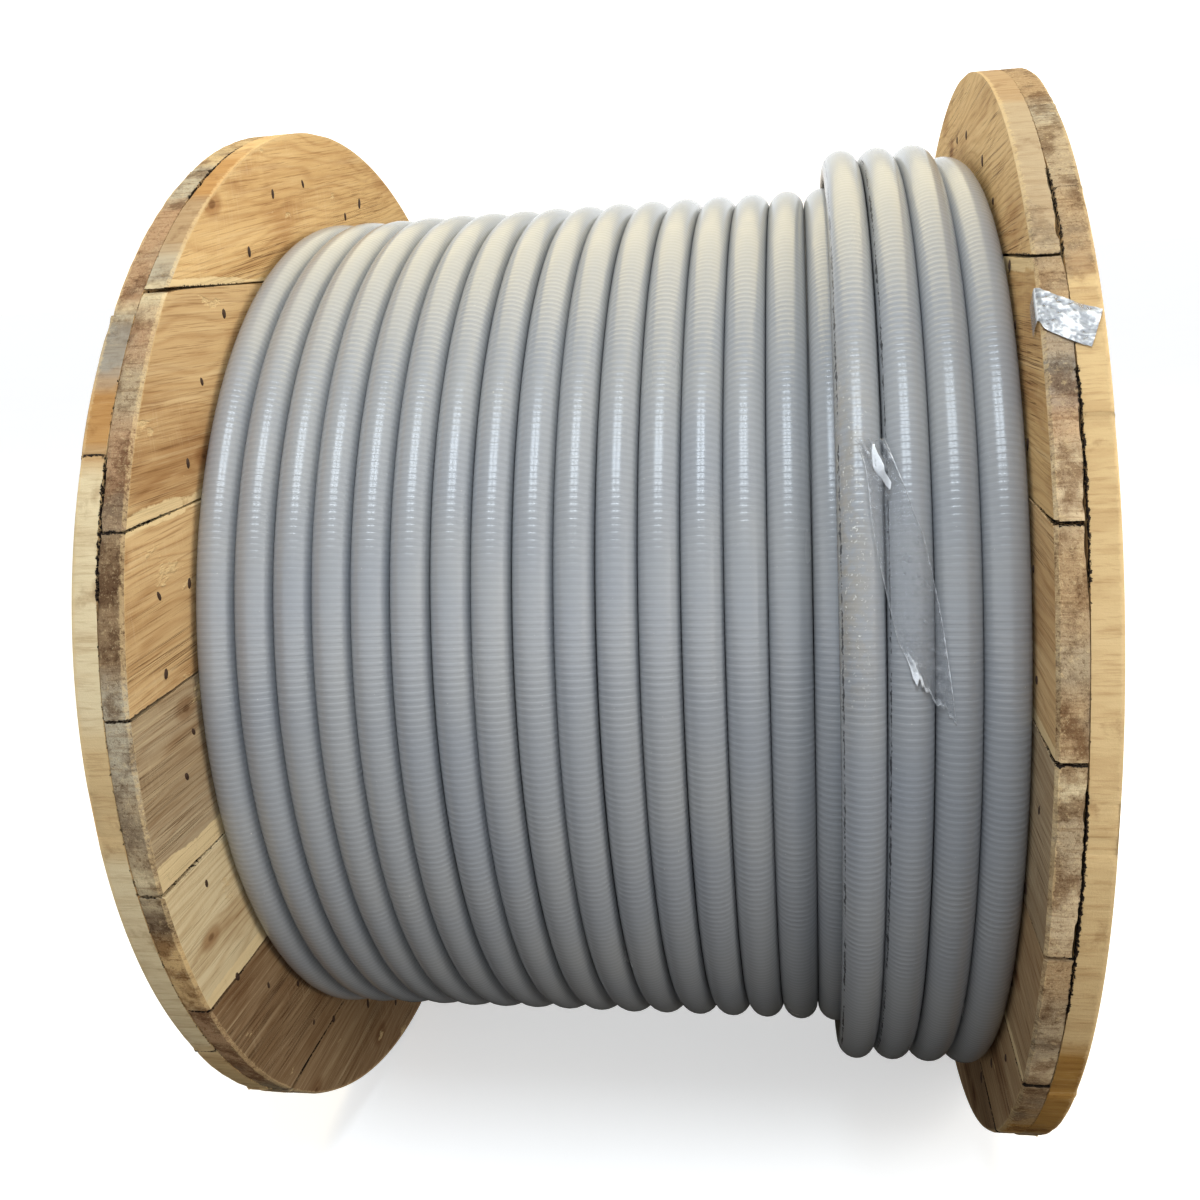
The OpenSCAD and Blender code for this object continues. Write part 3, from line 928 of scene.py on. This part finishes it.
def film(name, sheets, node, material):
    """Tape with a real thickness, from grids of points with their creases, for its CAD node."""
    points, faces, creases = [], [], []
    for sheet, crease_and_glint in sheets:
        rows, columns = crease_and_glint.shape
        faces.append(grid_faces(rows, columns) + sum(map(len, points)))
        points.append(sheet.reshape(-1, 3))
        creases.append(crease_and_glint.ravel())
    obj = make_object(name, np.concatenate(points), np.concatenate(faces), material)
    set_attribute(obj.data, "crease_and_glint", np.concatenate(creases))
    solid = obj.modifiers.new("solid", "SOLIDIFY")
    solid.thickness = 0.12 * MM
    solid.offset = 0
    apply_modifiers(obj)
    obj.data.shade_smooth()
    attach(obj, "root")
    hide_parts(node)


def crumple(seed, x, y, scale):
    """Crossing seeded ridges over a sheet, between -1 and 1."""
    total = 0
    for k in range(3):
        turn = 0.9 + 1.1 * k
        line = x * math.cos(turn) + y * math.sin(turn)
        bend = 1.2 * scale * Wobble(seed + 20 + k, 1.5 * scale)(y * math.cos(turn) - x * math.sin(turn))
        total = total + (1 - 2 * np.abs(Wobble(seed + k, scale * (1 + 0.5 * k))(line + bend)))
    return total / 3


def cable_tape(material):
    """Strip over the top turns: gathered into a bright fold at its upper end, flat further down,
    stretched over the valleys between turns, with a torn and folded lower edge."""
    u, v = sheet_places(90, 44)
    top_angle, low_angle = 31.5, 8.6
    bridge_depth = 4.5 * MM
    angle = top_angle + (low_angle - top_angle) * u
    centre_x = (313 + 57 * u ** 0.8) * MM
    half_w = (15 + 10 * smoothstep(0.05, 0.45, u)) * MM
    x = centre_x + v * half_w
    slant = 1.9 * v * u
    angle = (angle - slant * smoothstep(0.6, 1.0, u)) * DEG
    torn = 0.5 * Wobble(61, 0.12)(v) * smoothstep(0.85, 1, u) + 0.4 * Wobble(62, 0.1)(u) * np.abs(v) ** 6
    angle = angle + torn * DEG
    from_crest = (x - LAST_TOP_X) / PITCH
    from_crest = (from_crest - np.round(from_crest)) * PITCH
    drop = CABLE_R - np.sqrt(CABLE_R ** 2 - from_crest ** 2)
    bridged = bridge_depth * (1 - np.exp(-drop / bridge_depth))
    gathers = smoothstep(0.35, 0.0, u)
    ripple = crumple(70, x, TOP_R * angle, 9 * MM)
    folds = np.sin(v * 9 + 4 * Wobble(75, 0.2)(u)) * gathers
    flap = smoothstep(0.80, 1.0, u) * smoothstep(0.1, -0.8, v)
    lift = (0.5 + 0.45 * ripple * (0.4 + gathers) + 1.8 * (1 + folds) * gathers + 4.5 * flap) * MM
    edge = smoothstep(0.93, 1.0, np.maximum(np.abs(v), 2 * u - 1))
    # On the lifted flap and along the edges the whiteness is painted glint; along the gathers and crumples
    # it is the film's own.
    crease_and_glint = 0.12 * gathers * (1 + folds) + 0.55 * flap + 0.35 * np.clip(ripple, 0, 1) ** 2 + 0.4 * edge
    x = x + 6 * MM * flap
    strip = rim_point(x, TOP_R + CABLE_R - bridged + lift, angle)

    # The gathered sliver standing off the valley between the first two turns
    u, v = sheet_places(30, 9)
    twist = 0.35 + 0.9 * u + 0.35 * Wobble(77, 0.25)(u)
    half_w = (1.2 + 4.3 * np.sin(math.pi * u ** 1.3)) * MM
    x = (317 + 16 * u ** 2) * MM + v * half_w * np.cos(twist)
    radius = TOP_R + CABLE_R + (1.5 + 2.5 * u) * MM + v * half_w * np.sin(twist)
    sliver = rim_point(x, radius, (31.0 - 4.0 * u + 0.3 * v * u) * DEG)
    # The sliver is white partly from its folds and partly as painted glint.
    gleam = 0.95 - 0.6 * np.clip(crumple(78, x, radius, 3 * MM), 0, 1) * (np.abs(v) < 0.7)
    film("cable_tape_film", ((strip, np.clip(crease_and_glint, 0, 1)), (sliver, gleam)), "cable_tape", material)


def rim_tape(material):
    """Crumpled patch over the right rim, with its end folded down over the flange's inner face."""
    u, v = sheet_places(70, 50)
    fold = 0.25
    short_end_x, askew, folded_length = 518.9 * MM, 14 * MM, 26 * MM
    on_rim = np.clip((u - fold) / (1 - fold), 0, 1)
    upper = 40.8 - 2.4 * on_rim
    lower = 37.3 - 2.0 * on_rim + 0.6 * smoothstep(0.1, 0.0, on_rim)
    angle = (upper + lower) / 2 + v * (upper - lower) / 2
    angle = angle + 0.12 * Wobble(81, 0.2)(u) * np.abs(v) ** 4
    reach = short_end_x - INNER_FACE + askew * (v + 1) / 2
    x = INNER_FACE + on_rim * reach
    ridges = crumple(90, x, 1.6 * FLANGE_R * angle * DEG, 6 * MM)
    small = crumple(95, x, FLANGE_R * angle * DEG, 2.5 * MM)
    radius = FLANGE_R + 0.4 * MM + (1.1 * ridges + 0.5 * small) * MM
    down = np.clip((fold - u) / fold, 0, 1) * folded_length
    radius = np.where(u < fold, FLANGE_R - 3.2 * MM - down, radius)
    x = np.where(u < fold, INNER_FACE - (0.5 + 0.3 * small) * MM, x)
    near_fold = np.clip(1 - on_rim * reach / (4 * MM), 0, 1) * (u >= fold)
    radius = radius - near_fold * 2.6 * MM
    milky = 0.35 + 0.25 * smoothstep(0.1, 0.9, on_rim - 0.35 * v)
    at_corner = (u < fold) * smoothstep(fold - 0.08, fold - 0.04, u)
    crease_and_glint = np.clip(milky + 0.6 * ridges + 0.5 * small, 0, 1.1) * np.where(u < fold, 0.15, 1.0)
    crease_and_glint = np.maximum(crease_and_glint, 1.3 * at_corner)
    film("rim_tape_film", ((rim_point(x, radius, angle * DEG), crease_and_glint),), "rim_tape", material)


# ---------------- stage, lights, camera


def world_light():
    """Studio dome: white round the horizon, cooler overhead and dim below the floor. Its stops go
    from 0, straight down, to 1, straight up."""
    world = bpy.data.worlds.new("studio")
    bpy.context.scene.world = world
    world.use_nodes = True
    tree = world.node_tree
    background = tree.nodes["Background"]
    background.inputs[1].default_value = 1.0
    coord = tree.nodes.new("ShaderNodeTexCoord")
    split = tree.nodes.new("ShaderNodeSeparateXYZ")
    level = tree.nodes.new("ShaderNodeMapRange")
    level.inputs[1].default_value = -1
    ramp = tree.nodes.new("ShaderNodeValToRGB")
    tree.links.new(coord.outputs["Generated"], split.inputs[0])
    tree.links.new(split.outputs[2], level.inputs[0])
    tree.links.new(level.outputs[0], ramp.inputs[0])
    tree.links.new(ramp.outputs[0], background.inputs[0])
    stops = ((0.0, (0.02, 0.016, 0.01)), (0.47, (0.025, 0.02, 0.013)), (0.492, (1.35, 1.2, 1.02)),
             (0.54, (1.6, 1.6, 1.58)), (0.62, (1.54, 1.62, 1.7)), (0.74, (0.46, 0.47, 0.48)),
             (1.0, (0.36, 0.36, 0.35)))
    elements = ramp.color_ramp.elements
    while len(elements) < len(stops):
        elements.new(0.5)
    for element, (place, colour) in zip(elements, stops):
        element.position = place
        element.color = (*colour, 1)


def area_light(name, place, target, size, power, colour, glossy=True, diffuse=True):
    light = bpy.data.lights.new(name, "AREA")
    light.shape = "RECTANGLE"
    light.size, light.size_y = size
    light.energy = power
    light.color = colour
    obj = add_object(name, light)
    obj.visible_glossy = glossy
    obj.visible_diffuse = diffuse
    obj.location = place
    obj.rotation_euler = (Vector(target) - Vector(place)).to_track_quat("-Z", "Y").to_euler()


def stage():
    s = Shader("pale_floor")
    tone = s.mix(s.noise(s.place(), 1.5, 3), srgb(228, 228, 228), srgb(236, 236, 236))
    material = s.finish(Base_Color=tone, Roughness=0.9, Emission_Color=(1.0, 1.0, 1.0),
                        Emission_Strength=0.5)
    half = 80.0
    corners = [(x * half, y * half, -FLANGE_R) for x, y in ((-1, -1), (1, -1), (1, 1), (-1, 1))]
    floor = make_object("floor", corners, [(0, 1, 2, 3)], material)
    floor.visible_diffuse = False
    floor.visible_glossy = False
    world_light()
    area_light("warm_top", (0.2, 1.5, 3.6), (0, 0, 0.3), (5.0, 4.0), 165, (1.0, 0.83, 0.45))
    area_light("cool_front", (0.1, -2.2, 3.0), (0, 0, 0), (0.5, 1.5), 64, (0.80, 0.90, 1.0),
               glossy=False)
    area_light("sky_gleam", (0.1, -2.2, 3.0), (0, 0, 0), (2.0, 1.3), 92, (0.78, 0.89, 1.0),
               diffuse=False)
    area_light("right_fill", (2.7, -1.7, 0.5), (-0.4, 0, -0.1), (1.5, 1.5), 58, (1.0, 0.96, 0.88),
               glossy=False)


def camera():
    data = bpy.data.cameras.new("camera")
    data.sensor_width = 36
    data.lens = 35.3
    obj = add_object("camera", data)
    obj.location = (0.2422, -1.8304, 0.5561)
    obj.rotation_euler = [a * DEG for a in (73.672, 3.770, 9.108)]
    bpy.context.scene.camera = obj
    bpy.context.scene.view_settings.view_transform = "Standard"


# ---------------- build


def reuse(node, material):
    """Keeps a CAD node's shape and gives it a better finish."""
    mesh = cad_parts[node].data
    mesh.materials.clear()
    mesh.materials.append(material)


camera()
stage()
flanges(board_material())
all_nails(nail_material())
jacket = cable_material()
cable(jacket)
inner_layers(jacket)
cable_tape(tape_material("clear_tape", thin=0.08, thick=0.80, white_from=0.75, white_to=1.15))
rim_tape(tape_material("crumpled_tape", thin=0.30, thick=0.86, white_from=1.10, white_to=1.65))
reuse("barrel_staves", stave_material())
steel = steel_material()
for node in ("tie_rods", "rod_washers", "rod_nuts"):
    reuse(node, steel)
